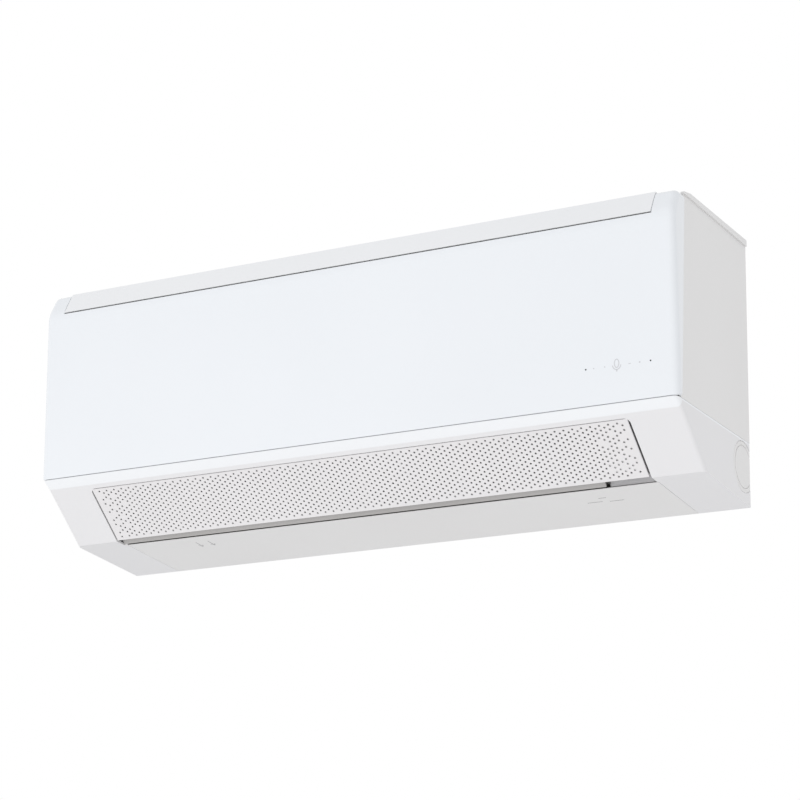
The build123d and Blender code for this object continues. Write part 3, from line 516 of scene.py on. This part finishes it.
def sheet_rim(bm):
    """Grows a plain border from the lattice's four sides to the sheet's outline."""
    sides = []
    for axis, outline in enumerate((SHEET_X, SHEET_V)):
        spots = [vert.co[axis] for vert in bm.verts]
        sides += [(axis, min(spots), outline[0]), (axis, max(spots), outline[1])]
    border = [
        edge for edge in bm.edges
        if edge.is_boundary and any(
            all(abs(vert.co[axis] - line) < TOUCH for vert in edge.verts)
            for axis, line, limit in sides
        )
    ]
    grown = bmesh.ops.extrude_edge_only(bm, edges=border)["geom"]
    for vert in grown:
        if not isinstance(vert, bmesh.types.BMVert):
            continue
        for axis, line, limit in sides:
            if abs(vert.co[axis] - line) < TOUCH:
                vert.co[axis] = limit


def new_object(name, bm, material):
    """Makes a mesh object from a bmesh, with its material."""
    mesh = bpy.data.meshes.new(name)
    bm.to_mesh(mesh)
    bm.free()
    mesh.materials.append(material)
    made = bpy.data.objects.new(name, mesh)
    bpy.context.scene.collection.objects.link(made)
    return made


def finish_piece(name, bm, material, body):
    """Makes a mesh object and lets it ride on a body."""
    piece = new_object(name, bm, material)
    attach(piece, body)
    return piece


sheet = perforated_sheet()
sheet_rim(sheet)
bmesh.ops.recalc_face_normals(sheet, faces=sheet.faces)
sheet.normal_update()
if next(iter(sheet.faces)).normal.z < 0:
    bmesh.ops.reverse_faces(sheet, faces=sheet.faces)
lift = Matrix.Translation((0, 0, -SHEET_INSET))
bmesh.ops.transform(sheet, matrix=slope_frame @ lift, verts=sheet.verts)
perforated_louver = finish_piece("perforated_louver", sheet, louver_white, "louver")
thicken = perforated_louver.modifiers.new("thickness", "SOLIDIFY")
thicken.thickness = SHEET_THICKNESS
thicken.offset = -1
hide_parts("louver_skin")

# %% [markdown]
# ## The coil's fins
# The CAD model's coil is three solid blocks. Seen from near, a coil is a stack
# of thin aluminium fins across its tubes. The outline of each block's end is
# repeated along the unit, once for every fin, and the stack of fins takes the
# block's place.


# %% Fin stacks
FIN_PITCH = 0.0018
FIN_THICKNESS = 0.0002


def end_outline(node):
    """The corners of a block's left end, in order round it, and where the block starts and ends."""
    spots = {tuple(round(v, 5) for v in node.matrix_world @ vert.co) for vert in node.data.vertices}
    left = min(spot[0] for spot in spots)
    right = max(spot[0] for spot in spots)
    corners = [Vector(spot[1:]) for spot in spots if abs(spot[0] - left) < 1e-4]
    middle = sum(corners, Vector((0, 0))) / len(corners)
    corners.sort(key=lambda corner: math.atan2(corner.y - middle.y, corner.x - middle.x))
    return corners, left, right


def fin_stack(name):
    """Thin fins from one end of a coil block to the other."""
    corners, left, right = end_outline(nodes[name])
    bm = bmesh.new()
    count = int((right - left - FIN_THICKNESS) / FIN_PITCH) + 1
    for k in range(count):
        x = left + k * FIN_PITCH
        near = [bm.verts.new((x, *corner)) for corner in corners]
        far = [bm.verts.new((x + FIN_THICKNESS, *corner)) for corner in corners]
        bm.faces.new(near)
        bm.faces.new(reversed(far))
        for a in range(len(corners)):
            b = (a + 1) % len(corners)
            bm.faces.new((near[b], near[a], far[a], far[b]))
    bmesh.ops.recalc_face_normals(bm, faces=bm.faces)
    stack = finish_piece(name + "_fins", bm, fin_metal, "root")
    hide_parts(name)
    print(name, "fins:", count)


for coil_name in ("coil_front", "coil_top", "coil_rear"):
    fin_stack(coil_name)

# %% [markdown]
# ## Light marks and press marks
# A row of small marks sits near the panel's right end: two dark lamp windows,
# fainter ones between them, and the outline of a microphone. Short strokes
# stand for the small marks under the unit. Each mark is a flat ribbon or disc
# a tenth of a millimetre thick, laid on the surface that carries it.

# %% Marks: where they lie
MARK_THICKNESS = 0.0001
MARK_STROKE = 0.0009
PANEL_FOOT_HEIGHT = 0.0741
PANEL_TOP = Vector((0, -0.2145, 0.279 - SCREW_CENTRE_HEIGHT))
PANEL_FOOT = Vector((0, -0.2053, PANEL_FOOT_HEIGHT - SCREW_CENTRE_HEIGHT))
REAR_EDGE = Vector((0, -0.0005, 0.00004 - SCREW_CENTRE_HEIGHT))
MARK_HEIGHT = 0.1145
DARK_DOTS = ((0.3059, 0.0009), (0.3809, 0.0009))  # place along the unit, radius
FAINT_DOTS = ((0.3152, 0.0007), (0.3280, 0.0007), (0.3684, 0.0009))
MICROPHONE_X = 0.3419
CAPSULE_RISE = 0.0022  # the microphone's round head above the row's middle
CAPSULE_RADII = (0.0026, 0.0046)
CRADLE_RISE = 0.0008
CRADLE_RADII = (0.0048, 0.0054)
STEM = (-0.0048, -0.0068)
DASH = (0.3554, 0.3584)
PRESS_MARKS = (-0.260, -0.243)
PRESS_STROKE = (0.078, 0.094)  # from and to, forward from the unit's rear edge
PRESS_ARROW = ((-0.003, 0.083), (0, 0.0775), (0.003, 0.083))
PRESS_BARS = ((0.246, 0.264, 0.073), (0.264, 0.273, 0.084), (0.272, 0.289, 0.071))
panel_frame = surface_frame(PANEL_FOOT, PANEL_TOP)
under_frame = surface_frame(REAR_EDGE, CHAMFER_FOOT)
print("the panel faces", [round(v, 3) for v in panel_frame.col[2][:3]])


# %% Marks: discs and ribbons
def disc(bm, x, y, radius):
    """A flat disc standing a little proud of the surface."""
    bmesh.ops.create_cone(
        bm, cap_ends=True, segments=24, radius1=radius, radius2=radius, depth=MARK_THICKNESS,
        matrix=Matrix.Translation((x, y, MARK_THICKNESS / 2)),
    )


def ribbon(bm, points, width, closed=False):
    """A flat ribbon of one width along the points."""
    spots = [Vector(point) for point in points]
    count = len(spots)
    rings = []
    for k, spot in enumerate(spots):
        before = spots[k - 1] if k or closed else spot
        after = spots[(k + 1) % count] if k < count - 1 or closed else spot
        side = (after - before).normalized().orthogonal() * width / 2
        low = [(*(spot - side), 0), (*(spot + side), 0)]
        high = [(*(spot + side), MARK_THICKNESS), (*(spot - side), MARK_THICKNESS)]
        rings.append([bm.verts.new(corner) for corner in low + high])
    for k in range(count if closed else count - 1):
        here, there = rings[k], rings[(k + 1) % count]
        for a in range(4):
            b = (a + 1) % 4
            bm.faces.new((here[a], here[b], there[b], there[a]))
    if not closed:
        bm.faces.new(rings[0])
        bm.faces.new(reversed(rings[-1]))


def arc(centre, radius, start, end, steps=14):
    """Points on an arc, from one angle in degrees to another."""
    angles = [math.radians(start + (end - start) * k / steps) for k in range(steps + 1)]
    return [
        (centre[0] + radius[0] * math.cos(a), centre[1] + radius[1] * math.sin(a)) for a in angles
    ]


def marks_piece(name, bm, place, material, body):
    """Closes a set of marks and lays them on their surface."""
    bmesh.ops.recalc_face_normals(bm, faces=bm.faces)
    bmesh.ops.transform(bm, matrix=place, verts=bm.verts)
    finish_piece(name, bm, material, body)


print("mark helpers ready")


# %% Marks: the panel's row and the underside's strokes
mark_dark = moulded("mark_dark", (0.035, 0.035, 0.04), (0.025, 0.025, 0.03), (0.2, 0.3))
mark_faint = moulded("mark_faint", (0.62, 0.62, 0.64), (0.57, 0.57, 0.59), (0.4, 0.5))
mark_grey = moulded("mark_grey", (0.36, 0.35, 0.36), (0.30, 0.29, 0.30), (0.4, 0.5))
row = MARK_HEIGHT - PANEL_FOOT_HEIGHT
windows = bmesh.new()
for x, radius in DARK_DOTS:
    disc(windows, x, row, radius)
marks_piece("lamp_windows", windows, panel_frame, mark_dark, "front_panel")

outline = bmesh.new()
for x, radius in FAINT_DOTS:
    disc(outline, x, row, radius)
ribbon(outline, [(x, row) for x in DASH], 0.0007)
capsule = arc((MICROPHONE_X, row + CAPSULE_RISE), CAPSULE_RADII, 0, 360, 28)[:-1]
ribbon(outline, capsule, MARK_STROKE, closed=True)
cradle = arc((MICROPHONE_X, row + CRADLE_RISE), CRADLE_RADII, 185, 355)
ribbon(outline, cradle, MARK_STROKE)
ribbon(outline, [(MICROPHONE_X, row + rise) for rise in STEM], 0.0012)
marks_piece("microphone_mark", outline, panel_frame, mark_faint, "front_panel")

strokes = bmesh.new()
for x in PRESS_MARKS:
    ribbon(strokes, [(x, out) for out in PRESS_STROKE], MARK_STROKE)
    ribbon(strokes, [(x + aside, out) for aside, out in PRESS_ARROW], MARK_STROKE)
for start, end, out in PRESS_BARS:
    ribbon(strokes, [(start, out), (end, out)], 0.0011)
marks_piece("press_marks", strokes, under_frame, mark_grey, "root")
print("marks laid")

# %% [markdown]
# ## Camera
# The photograph was taken from below and to the right, a little nearer the
# unit's right end. The lens and place were worked out from the casing's
# edges, so the object lands on the same pixels.

# %% Camera
SENSOR_WIDTH = 36.0
LENS = 112.93
CAMERA_PLACE = Vector((1.3807, -2.5274, -0.8912))
CAMERA_TURNS = (30.107, 15.338, 7.426)  # degrees about Z, X and Y
camera_data = bpy.data.cameras.new("camera")
camera_data.sensor_width = SENSOR_WIDTH
camera_data.lens = LENS
camera_data.clip_end = 100.0
camera = bpy.data.objects.new("camera", camera_data)
bpy.context.scene.collection.objects.link(camera)
turn_z, turn_x, turn_y = (
    Matrix.Rotation(math.radians(turn), 3, axis) for turn, axis in zip(CAMERA_TURNS, "ZXY")
)
right, forward, up = (turn_y @ turn_x @ turn_z).col
camera.matrix_world = Matrix((
    (right.x, up.x, -forward.x, CAMERA_PLACE.x),
    (right.y, up.y, -forward.y, CAMERA_PLACE.y),
    (right.z, up.z, -forward.z, CAMERA_PLACE.z),
    (0, 0, 0, 1),
))
bpy.context.scene.camera = camera
print("camera looks along", [round(v, 3) for v in forward])

# %% [markdown]
# ## Studio
# The unit hangs about two metres above a pale floor. The light is broad and
# plain: a bright sky all round, a large soft lamp in front and to the left, a
# small weak one low on the right, and what the floor throws back up.


# %% Floor
FLOOR_HALF_WIDTH = 8.0
FLOOR_DEPTH = 2.1  # under the frame's origin


def pale_floor():
    """A wide pale floor, slightly mottled."""
    material, tree, shader = new_material("floor_pale")
    mottle = noise(tree, object_position(tree), 1.5)
    colour = two_tones(tree, mottle, (0.86, 0.86, 0.86), (0.89, 0.89, 0.89))
    tree.links.new(colour, shader.inputs["Base Color"])
    shader.inputs["Roughness"].default_value = 0.7
    bm = bmesh.new()
    bmesh.ops.create_grid(bm, x_segments=8, y_segments=8, size=FLOOR_HALF_WIDTH)
    bmesh.ops.translate(bm, vec=(0, 0, -FLOOR_DEPTH), verts=bm.verts)
    floor = new_object("floor", bm, material)


pale_floor()
print("floor laid")


# %% World and lamps
def studio_world(strength):
    """White to the camera and in reflections, plain grey light otherwise."""
    world = bpy.data.worlds.new("studio")
    world.use_nodes = True
    tree = world.node_tree
    tree.nodes.clear()
    output = tree.nodes.new("ShaderNodeOutputWorld")
    lit = tree.nodes.new("ShaderNodeBackground")
    lit.inputs["Color"].default_value = (0.98, 0.99, 1.0, 1)
    lit.inputs["Strength"].default_value = strength
    seen = tree.nodes.new("ShaderNodeBackground")
    seen.inputs["Color"].default_value = (1, 1, 1, 1)
    path = tree.nodes.new("ShaderNodeLightPath")
    rays = ("Is Camera Ray", "Is Transmission Ray", "Is Glossy Ray")
    plain_white = highest(tree, [path.outputs[ray] for ray in rays])
    mix = tree.nodes.new("ShaderNodeMixShader")
    tree.links.new(plain_white, mix.inputs["Fac"])
    tree.links.new(lit.outputs["Background"], mix.inputs[1])
    tree.links.new(seen.outputs["Background"], mix.inputs[2])
    tree.links.new(mix.outputs["Shader"], output.inputs["Surface"])
    bpy.context.scene.world = world


def soft_lamp(name, place, aim, size, power):
    """A square lamp at a place, turned towards a point, so many metres wide and so many watts."""
    data = bpy.data.lights.new(name, "AREA")
    data.shape = "SQUARE"
    data.size = size
    data.energy = power
    lamp = bpy.data.objects.new(name, data)
    lamp.location = place
    lamp.rotation_euler = (Vector(aim) - Vector(place)).to_track_quat("-Z", "Y").to_euler()
    bpy.context.scene.collection.objects.link(lamp)


studio_world(0.80)
soft_lamp("front_lamp", (-1.2, -3.3, -0.9), (0, 0, 0), 2.4, 33.0)
soft_lamp("low_right_lamp", (1.9, -0.9, -1.5), (0.3, -0.1, -0.1), 1.2, 5.0)
bpy.context.scene.view_settings.view_transform = "Standard"
print("studio ready")
